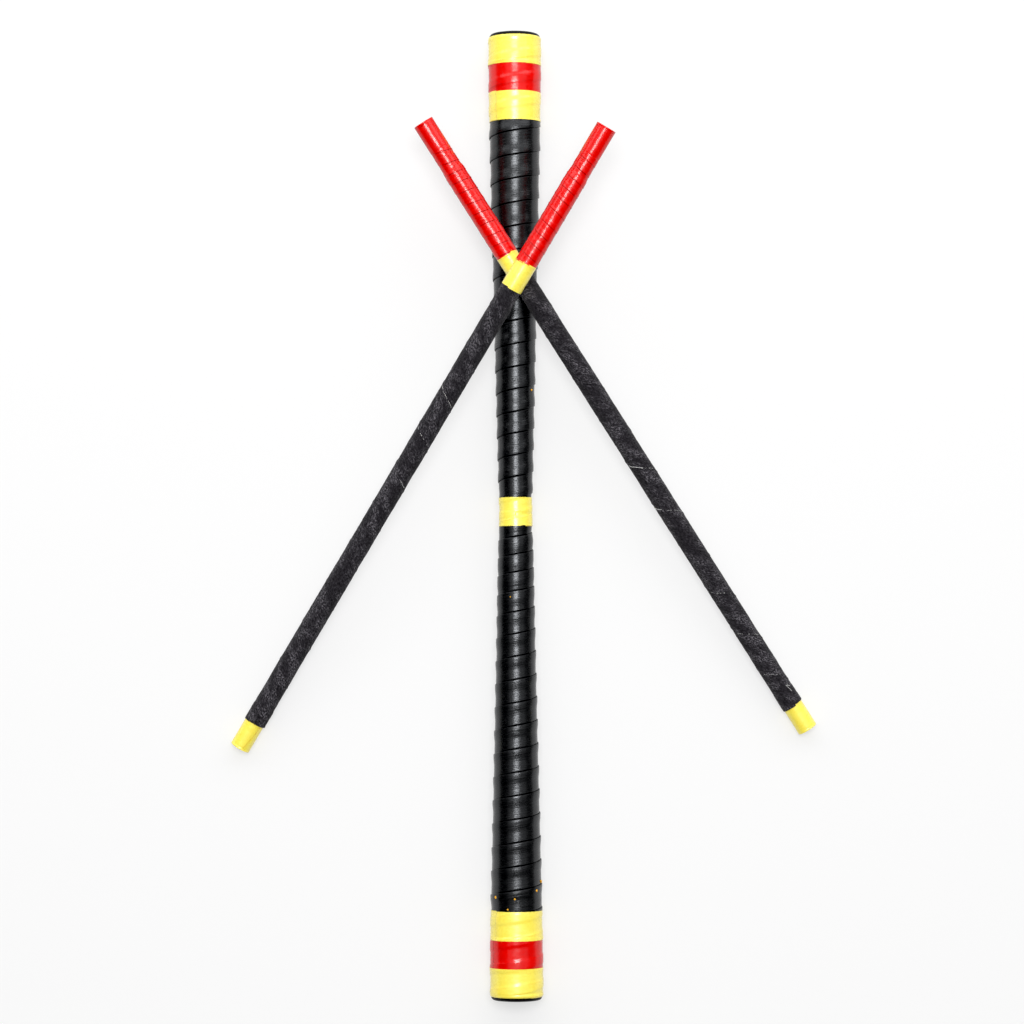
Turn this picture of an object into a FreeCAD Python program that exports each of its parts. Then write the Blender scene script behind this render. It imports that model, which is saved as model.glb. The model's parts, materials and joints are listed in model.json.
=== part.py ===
# A juggling stick set: a waisted centre stick lying flat, with two straight hand sticks crossed
# over it near their handles and resting with their tips on the ground.
# Units are millimetres. +Y runs along the centre stick, +Z is up, and the origin is at the middle
# of the underside of the whole set's bounding box.
import FreeCAD, Part

import math
import os

Vector = FreeCAD.Vector

# ---- stock sizes ------------------------------------------------------------------------------
TAPE_WIDTH = 19.0           # vinyl tape, 3/4 in
TAPE_EDGE_LAP = 0.85        # how far each neighbouring band covers the edge of the red band

# ---- centre stick -----------------------------------------------------------------------------
CENTRE_CORE_LENGTH = 609.6  # 24 in
CAP_THICKNESS = 4.5
CAP_EDGE_ROUND = 2.0
CAP_SHOWING = 1.9           # rim of each rubber cap left bare by the outermost band
WRAP_THICKNESS = 1.2        # two overlapping turns of rubber tape
BAND_THICKNESS = 0.3
WAIST_BAND_THICKNESS = 0.22
WAIST_BAND_OFFSET = 1.5     # the waist band sits this far towards +Y from the middle
WRAP_JOINT = 1.5            # the two wraps start against each other under the waist band

# Outside of the rubber wrap, from the middle to either end: (distance from the middle, radius).
WRAP_PROFILE = [(0.0, 10.7), (12.0, 10.9), (30.0, 11.35), (60.0, 12.1), (252.0, 16.65),
                (271.0, 17.0), (289.0, 17.15), (CENTRE_CORE_LENGTH / 2, 17.15)]

# ---- hand sticks ------------------------------------------------------------------------------
DOWEL_RADIUS = 6.35         # 1/2 in dowel
DOWEL_LENGTH = 457.2        # 18 in
END_TAPE_THICKNESS = 0.45   # several layers, folded over the handle end of the dowel
TIP_TAPE_THICKNESS = 0.29   # two layers, folded over the other end
HANDLE_TAPE_THICKNESS = 0.25
HANDLE_TAPE_OVER_GRIP = 0.2
GRIP_THICKNESS = 0.55
TRANSITION_THICKNESS = 0.4
GRIP_START = 36.0           # distances from the handle end
HANDLE_TAPE_END = 98.0
GRIP_END_FROM_TIP = 18.4    # yellow showing at the tip
TIP_TAPE_LENGTH = 30.0      # the grip covers the inner part of it

# ---- how the set lies -------------------------------------------------------------------------
CONTACT_GAP = 0.05          # air left where one stick rests on another
LOWER_TIP = (187.1, -137.6)   # plan position of each tip, measured from the centre stick's middle
LOWER_HEADING = -32.5         # plan angle from +Y towards +X of the way from tip to handle, degrees
UPPER_TIP = (-176.9, -148.3)
UPPER_HEADING = 31.0

CAP_END = CENTRE_CORE_LENGTH / 2 + CAP_THICKNESS
BANDS_END = CAP_END - CAP_SHOWING
RED_END = BANDS_END - TAPE_WIDTH
RED_START = RED_END - TAPE_WIDTH + 2 * TAPE_EDGE_LAP
BAND_EDGES = {              # inner and outer edge of each end band, from the middle of the stick
    "outer": (RED_END, BANDS_END),
    "red": (RED_START, RED_END),
    "inner": (RED_START - TAPE_WIDTH, RED_START),
}

CENTRE_RADIUS = WRAP_PROFILE[-1][1] + BAND_THICKNESS
HANDLE_END_RADIUS = DOWEL_RADIUS + END_TAPE_THICKNESS
TIP_RADIUS = DOWEL_RADIUS + TIP_TAPE_THICKNESS
GRIP_RADIUS = DOWEL_RADIUS + GRIP_THICKNESS
TRANSITION_RADIUS = GRIP_RADIUS + TRANSITION_THICKNESS
TRANSITION_END = HANDLE_TAPE_END + TAPE_WIDTH
STICK_LENGTH = END_TAPE_THICKNESS + DOWEL_LENGTH + TIP_TAPE_THICKNESS


def turned(outline):
    """Solid of revolution about the Y axis from a closed outline of (station, radius) points."""
    points = [Vector(radius, station, 0) for station, radius in outline]
    wire = Part.makePolygon(points + [points[0]])
    return Part.Face(wire).revolve(Vector(0, 0, 0), Vector(0, 1, 0), 360)


def sleeve(outer, inner):
    """Sleeve between two lines of (station, radius) points that share their end stations."""
    return turned(outer + inner[::-1])


# ---- centre stick, built with its middle at the origin and its axis on Y --------------------------

def wrap_radius(station):
    """Radius of the rubber wrap's outside at a distance from the middle."""
    for (near, near_radius), (far, far_radius) in zip(WRAP_PROFILE, WRAP_PROFILE[1:]):
        if station <= far:
            return near_radius + (far_radius - near_radius) * (station - near) / (far - near)
    return WRAP_PROFILE[-1][1]


def wrap_line(start, end, offset):
    """The wrap's outside between two stations of one half, moved out by an offset."""
    inner_knots = [station for station, _ in WRAP_PROFILE if start < station < end]
    return [(station, wrap_radius(station) + offset) for station in [start] + inner_knots + [end]]


def mirrored_line(line):
    return [(-station, radius) for station, radius in reversed(line)]


def centre_core():
    half = wrap_line(0.0, CENTRE_CORE_LENGTH / 2, -WRAP_THICKNESS)
    end = CENTRE_CORE_LENGTH / 2
    return turned([(-end, 0.0)] + mirrored_line(half)[:-1] + half + [(end, 0.0)])


def centre_wrap(side):
    """One half of the rubber wrap. It starts off the middle, under the waist band."""
    end = CENTRE_CORE_LENGTH / 2
    if side > 0:
        return sleeve(wrap_line(WRAP_JOINT, end, 0.0), wrap_line(WRAP_JOINT, end, -WRAP_THICKNESS))
    short = [wrap_line(0.0, WRAP_JOINT, offset) for offset in (0.0, -WRAP_THICKNESS)]
    half = [wrap_line(0.0, end, offset) for offset in (0.0, -WRAP_THICKNESS)]
    return sleeve(mirrored_line(half[0])[:-1] + short[0], mirrored_line(half[1])[:-1] + short[1])


def waist_band():
    start = WAIST_BAND_OFFSET - TAPE_WIDTH / 2
    end = WAIST_BAND_OFFSET + TAPE_WIDTH / 2
    lines = [mirrored_line(wrap_line(0.0, -start, offset))[:-1] + wrap_line(0.0, end, offset)
             for offset in (WAIST_BAND_THICKNESS, 0.0)]
    return sleeve(lines[0], lines[1])


def end_band(name, side):
    """A band of vinyl tape near one end. The outermost one also grips the rubber cap's rim."""
    start, end = BAND_EDGES[name]
    outer = wrap_line(start, end, BAND_THICKNESS)
    inner = wrap_line(start, end, 0.0)
    if side < 0:
        outer = mirrored_line(outer)
        inner = mirrored_line(inner)
    return sleeve(outer, inner)


def end_cap(side):
    """Rubber disc that closes the end of the core, with a rounded rim."""
    radius = WRAP_PROFILE[-1][1]
    base = CENTRE_CORE_LENGTH / 2
    lean = CAP_EDGE_ROUND * math.sqrt(0.5)
    round_centre = Vector(radius - CAP_EDGE_ROUND, CAP_END - CAP_EDGE_ROUND, 0)
    rim_start = round_centre + Vector(CAP_EDGE_ROUND, 0, 0)
    rim_middle = round_centre + Vector(lean, lean, 0)
    rim_end = round_centre + Vector(0, CAP_EDGE_ROUND, 0)
    corner_in = Vector(0, base, 0)
    corner_out = Vector(radius, base, 0)
    centre_out = Vector(0, CAP_END, 0)
    edges = [Part.LineSegment(corner_in, corner_out).toShape(),
             Part.LineSegment(corner_out, rim_start).toShape(),
             Part.Arc(rim_start, rim_middle, rim_end).toShape(),
             Part.LineSegment(rim_end, centre_out).toShape(),
             Part.LineSegment(centre_out, corner_in).toShape()]
    cap = Part.Face(Part.Wire(edges)).revolve(Vector(0, 0, 0), Vector(0, 1, 0), 360)
    if side < 0:
        cap = cap.mirror(Vector(0, 0, 0), Vector(0, 1, 0))
    return cap


def centre_stick():
    """The pieces of the centre stick, lying with its end bands on the ground."""
    pieces = {"centre_core": centre_core(), "waist_band": waist_band()}
    for end_name, side in (("back", 1), ("front", -1)):
        pieces[f"centre_wrap_{end_name}"] = centre_wrap(side)
        pieces[f"end_cap_{end_name}"] = end_cap(side)
        for band in BAND_EDGES:
            pieces[f"band_{end_name}_{band}"] = end_band(band, side)
    return placed(pieces, FreeCAD.Placement(Vector(0, 0, CENTRE_RADIUS), FreeCAD.Rotation()))


# ---- hand sticks, built with the handle end at the origin and the axis on +Y ----------------------

def end_cup(closed_end, open_end, thickness):
    """Tape wound round an end of the dowel and folded over it."""
    outer_radius = DOWEL_RADIUS + thickness
    floor = closed_end + math.copysign(thickness, open_end - closed_end)
    return turned([(closed_end, 0.0), (closed_end, outer_radius), (open_end, outer_radius),
                   (open_end, DOWEL_RADIUS), (floor, DOWEL_RADIUS), (floor, 0.0)])


def handle_tape():
    """Spiral of red tape that steps up where it runs over the start of the grip strip."""
    bare = DOWEL_RADIUS + HANDLE_TAPE_THICKNESS
    raised = GRIP_RADIUS + HANDLE_TAPE_OVER_GRIP
    step = GRIP_START - HANDLE_TAPE_OVER_GRIP
    outer = [(TAPE_WIDTH, bare), (step, bare), (step, raised), (HANDLE_TAPE_END, raised)]
    inner = [(TAPE_WIDTH, DOWEL_RADIUS), (GRIP_START, DOWEL_RADIUS), (GRIP_START, GRIP_RADIUS),
             (HANDLE_TAPE_END, GRIP_RADIUS)]
    return sleeve(outer, inner)


def grip_wrap():
    """Spiral cloth strip, from under the handle tape to over the inner part of the tip tape."""
    end = STICK_LENGTH - GRIP_END_FROM_TIP
    step = STICK_LENGTH - TIP_TAPE_LENGTH
    outer = [(GRIP_START, GRIP_RADIUS), (step - GRIP_THICKNESS, GRIP_RADIUS),
             (step - GRIP_THICKNESS, TIP_RADIUS + GRIP_THICKNESS), (end, TIP_RADIUS + GRIP_THICKNESS)]
    inner = [(GRIP_START, DOWEL_RADIUS), (step, DOWEL_RADIUS), (step, TIP_RADIUS), (end, TIP_RADIUS)]
    return sleeve(outer, inner)


def hand_stick(prefix):
    """The pieces of one hand stick, in its own frame."""
    transition = [[(HANDLE_TAPE_END, radius), (TRANSITION_END, radius)]
                  for radius in (TRANSITION_RADIUS, GRIP_RADIUS)]
    dowel_ends = (END_TAPE_THICKNESS, END_TAPE_THICKNESS + DOWEL_LENGTH)
    return {
        f"{prefix}_dowel": turned([(dowel_ends[0], 0.0), (dowel_ends[0], DOWEL_RADIUS),
                                   (dowel_ends[1], DOWEL_RADIUS), (dowel_ends[1], 0.0)]),
        f"{prefix}_handle_end_tape": end_cup(0.0, TAPE_WIDTH, END_TAPE_THICKNESS),
        f"{prefix}_handle_tape": handle_tape(),
        f"{prefix}_grip_wrap": grip_wrap(),
        f"{prefix}_transition_band": sleeve(transition[0], transition[1]),
        f"{prefix}_tip_tape": end_cup(STICK_LENGTH, STICK_LENGTH - TIP_TAPE_LENGTH,
                                      TIP_TAPE_THICKNESS),
    }


# ---- placing ----------------------------------------------------------------------------------

def stick_line(tip, heading, tilt):
    """A point at the tip and the direction towards the handle, for a stick with its tip down."""
    turn = math.radians(heading)
    direction = Vector(math.sin(turn) * math.cos(tilt), math.cos(turn) * math.cos(tilt),
                       math.sin(tilt))
    return Vector(tip[0], tip[1], TIP_RADIUS * math.cos(tilt)), direction


def height_over(point, direction, other_point, other_direction):
    """Distance between two lines, negative when the first passes under the second."""
    normal = direction.cross(other_direction)
    normal.normalize()
    if normal.z < 0:
        normal = normal * -1
    return (point - other_point).dot(normal)


def resting_tilt(tip, heading, other_point, other_direction, axis_distance):
    """The tilt at which a stick with its tip on the ground just lies on another stick."""
    low = 0.0
    high = math.radians(30)
    for _ in range(60):
        tilt = (low + high) / 2
        point, direction = stick_line(tip, heading, tilt)
        if height_over(point, direction, other_point, other_direction) < axis_distance:
            low = tilt
        else:
            high = tilt
    return tilt


def stick_placement(point, direction):
    """Placement that lays a hand stick's own frame along a line whose tip end is at a point."""
    handle_end = point + direction * STICK_LENGTH
    return FreeCAD.Placement(handle_end, FreeCAD.Rotation(Vector(0, 1, 0), direction * -1))


def placed(pieces, placement):
    result = {}
    for name, shape in pieces.items():
        copy = shape.copy()
        copy.Placement = placement.multiply(copy.Placement)
        result[name] = copy
    return result


def set_layout():
    """Placement of each hand stick: the lower one lies on the centre stick, the upper one on it."""
    centre_point = Vector(0, 0, CENTRE_RADIUS)
    centre_direction = Vector(0, 1, 0)
    turn = math.radians(LOWER_HEADING)
    crossing = LOWER_TIP[1] - LOWER_TIP[0] / math.tan(turn)
    lower_distance = wrap_radius(crossing) + TRANSITION_RADIUS + CONTACT_GAP
    lower_tilt = resting_tilt(LOWER_TIP, LOWER_HEADING, centre_point, centre_direction,
                              lower_distance)
    lower_point, lower_direction = stick_line(LOWER_TIP, LOWER_HEADING, lower_tilt)
    upper_tilt = resting_tilt(UPPER_TIP, UPPER_HEADING, lower_point, lower_direction,
                              2 * TRANSITION_RADIUS + CONTACT_GAP)
    upper_point, upper_direction = stick_line(UPPER_TIP, UPPER_HEADING, upper_tilt)
    return {"lower": stick_placement(lower_point, lower_direction),
            "upper": stick_placement(upper_point, upper_direction)}


def stick_set():
    """Every piece of the set, with the origin under the middle of the bounding box."""
    pieces = centre_stick()
    for prefix, placement in set_layout().items():
        pieces.update(placed(hand_stick(prefix), placement))
    box = Part.makeCompound(list(pieces.values())).optimalBoundingBox(False)
    shift = Vector(-(box.XMin + box.XMax) / 2, -(box.YMin + box.YMax) / 2, -box.ZMin)
    return placed(pieces, FreeCAD.Placement(shift, FreeCAD.Rotation()))


def main():
    os.makedirs("parts", exist_ok=True)
    for name, shape in stick_set().items():
        shape.exportStep(f"parts/{name}.step")
        print(f"{name:26s} {shape.Volume / 1000:8.3f} cm3  valid {shape.isValid()}")


main()
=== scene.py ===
"""Looks of the juggling stick set: wound tapes, cloth grips, rubber caps, a pale floor, soft light.

Lengths are in millimetres and become metres when a mesh is made. Each stick has its own frame: the
station along it, the angle round it from the top, and the radius.
"""

import json
import math

import bpy
import numpy as np
from mathutils import Matrix, Vector


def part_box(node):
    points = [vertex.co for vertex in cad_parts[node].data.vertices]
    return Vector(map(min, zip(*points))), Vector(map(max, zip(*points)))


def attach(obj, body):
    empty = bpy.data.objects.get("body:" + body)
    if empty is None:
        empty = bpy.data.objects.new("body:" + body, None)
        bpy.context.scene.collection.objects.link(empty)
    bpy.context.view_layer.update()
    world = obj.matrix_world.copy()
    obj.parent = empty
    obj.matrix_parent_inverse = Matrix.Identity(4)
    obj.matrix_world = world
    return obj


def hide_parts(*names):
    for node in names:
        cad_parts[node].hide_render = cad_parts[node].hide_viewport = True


MM = 0.001
TURN = 2 * math.pi
FAR_OFF = 9.0                   # a distance at which a seam no longer matters

# ---- the sticks -------------------------------------------------------------------------------
TAPE_WIDTH = 19.0               # vinyl tape, 3/4 in
DOWEL_RADIUS = 6.35             # 1/2 in dowel
GRIP_START = 36.0               # stations on a hand stick, from its handle end
HANDLE_TAPE_END = 98.0
TRANSITION_END = HANDLE_TAPE_END + TAPE_WIDTH
GRIP_END_FROM_TIP = 18.4

# ---- camera and light -------------------------------------------------------------------------
CAMERA_PLACE = (-0.01735, -0.0831, 2.2094)      # metres
CAMERA_PITCH, CAMERA_YAW, CAMERA_ROLL = 2.214, -0.256, -0.117   # degrees
CAMERA_LENS = 120.42
SENSOR_WIDTH = 36.0
BLACK_POINT = 0.004             # what the photo's exposure turns to black

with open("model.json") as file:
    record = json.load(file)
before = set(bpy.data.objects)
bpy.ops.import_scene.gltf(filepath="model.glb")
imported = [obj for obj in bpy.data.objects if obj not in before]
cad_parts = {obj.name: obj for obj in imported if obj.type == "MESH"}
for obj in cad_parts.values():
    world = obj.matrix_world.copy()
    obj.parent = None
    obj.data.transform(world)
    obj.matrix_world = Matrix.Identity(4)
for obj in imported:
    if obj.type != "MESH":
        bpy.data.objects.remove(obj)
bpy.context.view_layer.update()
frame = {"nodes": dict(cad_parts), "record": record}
record = frame["record"]


# ---- small mathematics ------------------------------------------------------------------------

def ease(x):
    """0 below 0, 1 above 1, and smooth in between."""
    x = np.clip(x, 0.0, 1.0)
    return x * x * (3 - 2 * x)


def hashed(column, row, seed):
    value = np.sin(column * 127.1 + row * 311.7 + seed * 74.7) * 43758.5453
    return value - np.floor(value)


def noise(x, y, seed, repeat=0):
    """Smooth noise from -1 to 1. With repeat, it comes round again after so many units of y."""
    x, y = np.broadcast_arrays(np.asarray(x, float), np.asarray(y, float))
    column, row = np.floor(x), np.floor(y)
    across, up = ease(x - column), ease(y - row)
    rows = [row, row + 1]
    if repeat:
        rows = [np.mod(r, repeat) for r in rows]
    corners = [[hashed(column + c, r, seed) for c in (0, 1)] for r in rows]
    low = corners[0][0] + (corners[0][1] - corners[0][0]) * across
    high = corners[1][0] + (corners[1][1] - corners[1][0]) * across
    return 2 * (low + (high - low) * up) - 1


def unit(v):
    return np.asarray(v, float) / np.linalg.norm(v)


class Stick:
    """A stick's own frame: station along its axis, angle round it from the top, radius."""

    def __init__(self, body, start, along):
        self.body = body
        self.start = np.asarray(start, float)
        self.along = unit(along)
        self.side = unit(np.cross(self.along, (0, 0, 1)))
        self.up = np.cross(self.side, self.along)

    def points(self, station, angle, radius):
        """Places in metres for arrays of station, angle and radius."""
        station, angle, radius = np.broadcast_arrays(station, angle, radius)
        out = (radius * np.sin(angle))[..., None] * self.side
        out = out + (radius * np.cos(angle))[..., None] * self.up
        return (self.start + station[..., None] * self.along + out) * MM


# ---- meshes -----------------------------------------------------------------------------------

def add_piece(name, stick, verts, faces, uv, material, replaces=(), crevice=None):
    """A mesh that rides on a stick. uv holds one pair for each vertex, in millimetres of surface,
    and crevice says how much painted seam shade each vertex gets, from 0 to 1."""
    mesh = bpy.data.meshes.new(name)
    mesh.from_pydata(verts.tolist(), [], faces)
    mesh.update()
    layer = mesh.uv_layers.new(name="Surface")
    corner = np.zeros(len(mesh.loops), np.int32)
    mesh.loops.foreach_get("vertex_index", corner)
    layer.data.foreach_set("uv", np.asarray(uv, np.float32)[corner].ravel())
    mesh.polygons.foreach_set("use_smooth", np.ones(len(mesh.polygons), bool))
    depth = mesh.attributes.new("crevice", "FLOAT", "POINT")
    if crevice is not None:
        depth.data.foreach_set("value", np.asarray(crevice, np.float32).ravel())
    mesh.materials.append(material)
    piece = bpy.data.objects.new(name, mesh)
    bpy.context.scene.collection.objects.link(piece)
    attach(piece, stick.body)
    if replaces:
        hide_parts(*replaces)


def loop_faces(rows, columns, first=0):
    """Quads between neighbouring rings of a grid whose columns close on themselves."""
    column = np.arange(columns)[None, :]
    following = (column + 1) % columns
    this = np.arange(rows - 1)[:, None] * columns
    after = this + columns
    quads = np.stack([this + column, this + following, after + following, after + column], axis=-1)
    return (quads.reshape(-1, 4) + first).tolist()


class Winding:
    """A strip of tape wound round a stick, each turn lying partly on the one before.

    Travel is the distance from the start in the direction of winding, and the turn angle grows as
    the strip goes round. The near edge of each turn is the one that shows. pitch(travel) is the
    distance between turns, wander is how far the edges stray, ramp is the length over which a turn
    comes down off the one below, and lap(station) is how much of its thickness a turn adds to the
    ones laid over it. The strip is trimmed at near_limit and far_limit.
    """

    def __init__(self, origin, sign, spin, width, thickness, pitch, start, end, phase=0.0,
                 wander=0.0, ramp=1.0, turns=None, seed=1, near_limit=-1e9, far_limit=1e9,
                 lap=lambda station: 1.0):
        self.origin, self.sign, self.spin = origin, sign, spin
        self.width, self.thickness, self.ramp = width, thickness, ramp
        self.near_limit, self.far_limit = near_limit, far_limit
        self.lap = lap
        steps_per_turn = 48
        step = TURN / steps_per_turn
        angles, edges = [phase], [start]
        last = None
        while last is None or angles[-1] < last + TURN + step:
            angles.append(angles[-1] + step)
            edges.append(edges[-1] + pitch(edges[-1]) / steps_per_turn)
            ended = edges[-1] >= end if turns is None else angles[-1] >= phase + turns * TURN
            if ended and last is None:
                last = angles[-1]
        self.angles = np.array(angles)
        slow = noise(self.angles / 1.3, 0.5, seed)
        quick = noise(self.angles / 0.37, 3.5, seed)
        self.edges = np.array(edges) + wander * (slow * 0.6 + quick * 0.4)
        self.first, self.last = phase, last

    def edge(self, angle):
        return np.interp(angle, self.angles, self.edges)

    def station(self, travel):
        return self.origin + self.sign * travel

    def layers_below(self, travel, angle):
        """How many earlier turns lie under this place, with the soft ramps of a draped strip."""
        total = np.zeros(np.broadcast(travel, angle).shape)
        for back in range(1, 6):
            earlier = angle - back * TURN
            there = ease((earlier - self.first) / 0.07 + 0.5)
            covered = ease((self.edge(earlier) + self.width - travel) / self.ramp + 0.5)
            total = total + there * covered
        return total * self.lap(self.station(travel))

    def passes(self, angle):
        """The turn angles at which the strip may pass this angle round the stick."""
        base = np.mod(self.spin * angle, TURN)
        for turn in range(-1, int((self.last - self.first) / TURN) + 3):
            yield base + TURN * (turn + math.floor(self.first / TURN))

    def surface_layers(self, station, angle, blur):
        """How many layers there are at a place of the finished wrap, for what is wound over it."""
        travel = (station - self.origin) * self.sign
        total = np.zeros(np.broadcast(travel, angle).shape)
        for at in self.passes(angle):
            edge = self.edge(at)
            inside = (at >= self.first) & (at <= self.last)
            begun = ease((travel - edge) / blur + 1.0)
            over = ease((edge + self.width - travel) / blur + 1.0)
            total = total + inside * begun * over
        return total

    def seam_nearness(self, station, angle, reach):
        """1 on the exposed edge of a turn, falling to 0 over so many millimetres."""
        travel = (station - self.origin) * self.sign
        nowhere = 99.0
        nearest = np.full(np.broadcast(travel, angle).shape, nowhere)
        for at in self.passes(angle):
            absent = (at < self.first) | (at > self.last)
            gap = np.abs(travel - self.edge(at)) + nowhere * absent
            nearest = np.minimum(nearest, gap)
        return np.exp(-(nearest / reach) ** 2)


def wound_strip(name, stick, winding, floor, material, relief, rows_per_turn, across,
                rounding, seam_width, groove=0.0, near_shape=None, marks=None, bead=0.0,
                edge_shade=1.0, flank_shade=1.0, under_step=5):
    """The closed ribbon of one winding, which replaces the CAD node of its name.

    floor(station, angle) is the radius of what the strip lies on, and relief adds its dents. across
    says how many columns there are before, round and after the seam of the turn above. rounding is
    the radius of the edges, and seam_width is how far a seam's painted shade reaches. near_shape
    moves the trimmed near edge by so many millimetres at each angle. groove and bead are the hollow
    beside a seam and the lip of the exposed edge. marks(station, angle) darkens more places in the
    same way, where something shows through; edge_shade is how dark the painted shade on the exposed
    edge is, and flank_shade is how much of the seams' painted shade is left at the sides of the
    stick.
    The underside has every under_step-th column of the top; a thin tape needs more of them.
    """
    thickness = winding.thickness
    rows = max(int((winding.last - winding.first) / TURN * rows_per_turn), 8)
    turn_angle = np.linspace(winding.first, winding.last, rows)
    edge = winding.edge(turn_angle)
    low = np.maximum(edge, winding.near_limit)
    high = np.minimum(edge + winding.width, winding.far_limit)
    keep = high - low > 0.5
    turn_angle, edge, low, high = turn_angle[keep], edge[keep], low[keep], high[keep]
    rows = len(turn_angle)
    if near_shape is not None:
        facing = np.mod(winding.spin * turn_angle + math.pi, TURN) - math.pi
        trimmed = low <= winding.near_limit + 1.2
        low = low + near_shape(facing) * trimmed

    # Columns crowd round the place where the next turn's edge lies on this one.
    rim = 1 - np.cos(np.linspace(0, math.pi / 2, 5))
    first, last = low + rounding, high - rounding
    room = last - first
    seam_at = winding.edge(turn_angle + TURN)
    seam_low = np.clip(seam_at - 1.3, first + 0.15 * room, last - 0.3 * room)
    seam_high = np.clip(seam_at + 0.7, seam_low + 0.1 * room, last - 0.1 * room)
    stops = [first, seam_low, seam_high, last]
    parts = [low[:, None] + rim[None, :] * rounding]
    for k, count in enumerate(across):
        share = np.linspace(0, 1, count + 1)[None, 1:]
        parts.append(stops[k][:, None] * (1 - share) + stops[k + 1][:, None] * share)
    parts.append(high[:, None] - rim[None, -2::-2] * rounding)
    travel = np.concatenate(parts, axis=1)
    angle = turn_angle[:, None]
    from_edge = np.minimum(travel - low[:, None], high[:, None] - travel)
    full = np.sqrt(np.clip(1 - (1 - np.clip(from_edge / rounding, 0, 1)) ** 2, 0, 1))

    station = winding.station(travel)
    around = winding.spin * angle
    under = floor(station, around) + thickness * winding.layers_below(travel, angle)
    top = under + thickness * (0.5 + 0.5 * full)
    gap = np.abs(seam_at[:, None] - travel) + FAR_OFF * (angle + TURN > winding.last)
    top = top - groove * np.exp(-(gap / 0.4) ** 2)
    shown = travel - low[:, None] + FAR_OFF * (edge[:, None] <= winding.near_limit)
    top = top + bead * np.exp(-((shown - 3 * bead - rounding) / (3 * bead + 0.01)) ** 2)
    # Painted shade along the seams, kept in the crevice attribute: broken up by noise, full over
    # the top of the stick where the highlight lies, and only flank_shade of it at the sides.
    fade = 0.8 + 0.2 * noise(angle * 2.3, 0.5, 61)
    fade = fade * (flank_shade + (1 - flank_shade) * ease((np.cos(angle) - 0.60) / 0.22))
    seam = np.maximum(np.exp(-(gap / seam_width) ** 2),
                      edge_shade * np.exp(-(shown / seam_width * 1.6) ** 2)) * fade
    if marks is not None:
        seam = np.maximum(seam, marks(station, around))
    top = top + relief(station, around, travel - edge[:, None], angle) * full
    under_columns = np.arange(travel.shape[1] - 1, -1, -under_step)[1:-1]
    bottom = under[:, under_columns] + thickness * 0.02
    ring = np.concatenate([top, bottom], axis=1)
    ring_station = np.concatenate([station, station[:, under_columns]], axis=1)
    ring_travel = np.concatenate([travel, travel[:, under_columns]], axis=1)
    ring_seam = np.concatenate([seam, seam[:, under_columns]], axis=1)
    verts = stick.points(ring_station, around, ring)
    columns = ring.shape[1]
    faces = loop_faces(rows, columns)
    turned = winding.sign * winding.spin > 0
    if turned:
        faces = [face[::-1] for face in faces]
    faces += strip_ends(rows, columns, travel.shape[1], under_columns, turned)
    along = np.broadcast_to(angle * np.mean(top), ring.shape)
    uv = np.stack([along, ring_travel - edge[:, None]], axis=-1)
    add_piece(name, stick, verts.reshape(-1, 3), faces, uv.reshape(-1, 2), material, [name],
              ring_seam)


def strip_ends(rows, columns, top_count, under_columns, turned):
    """The cut ends of a ribbon, as cells between its top and its underside."""
    faces = []
    below = [top_count - 1] + list(under_columns) + [0]
    low_index = [top_count - 1] + list(range(top_count, columns)) + [0]
    for row, flip in ((0, turned), (rows - 1, not turned)):
        first = row * columns
        for k in range(len(below) - 1):
            upper = list(range(below[k + 1], below[k] + 1))
            cell = [first + u for u in upper]
            for extra in (low_index[k], low_index[k + 1]):
                if first + extra not in cell:
                    cell.append(first + extra)
            faces.append(cell[::-1] if flip else cell)
    return faces


def thread_rings(stick, station, angle, radius, thickness, sides=6):
    """The skin of a fine thread that follows a line on a stick."""
    line = stick.points(station, angle, radius)
    ahead = np.gradient(line, axis=0)
    ahead /= np.linalg.norm(ahead, axis=1)[:, None]
    arm = line - stick.start * MM
    out = arm - (arm @ stick.along)[:, None] * stick.along
    across = np.cross(ahead, out)
    across /= np.linalg.norm(across, axis=1)[:, None]
    out = np.cross(across, ahead)
    turn = np.linspace(0, TURN, sides, endpoint=False)
    count = np.arange(len(line))
    taper = np.clip(np.minimum(count, count[::-1]) / 2 + 0.5, 0, 1) * thickness * MM / 2
    spokes = (np.cos(turn)[None, :, None] * across[:, None, :]
              + np.sin(turn)[None, :, None] * out[:, None, :])
    rings = (line[:, None, :] + taper[:, None, None] * spokes).reshape(-1, 3)
    faces = loop_faces(len(line), sides)
    faces.append(list(range(sides))[::-1])
    faces.append([(len(line) - 1) * sides + k for k in range(sides)])
    return rings, faces


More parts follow.
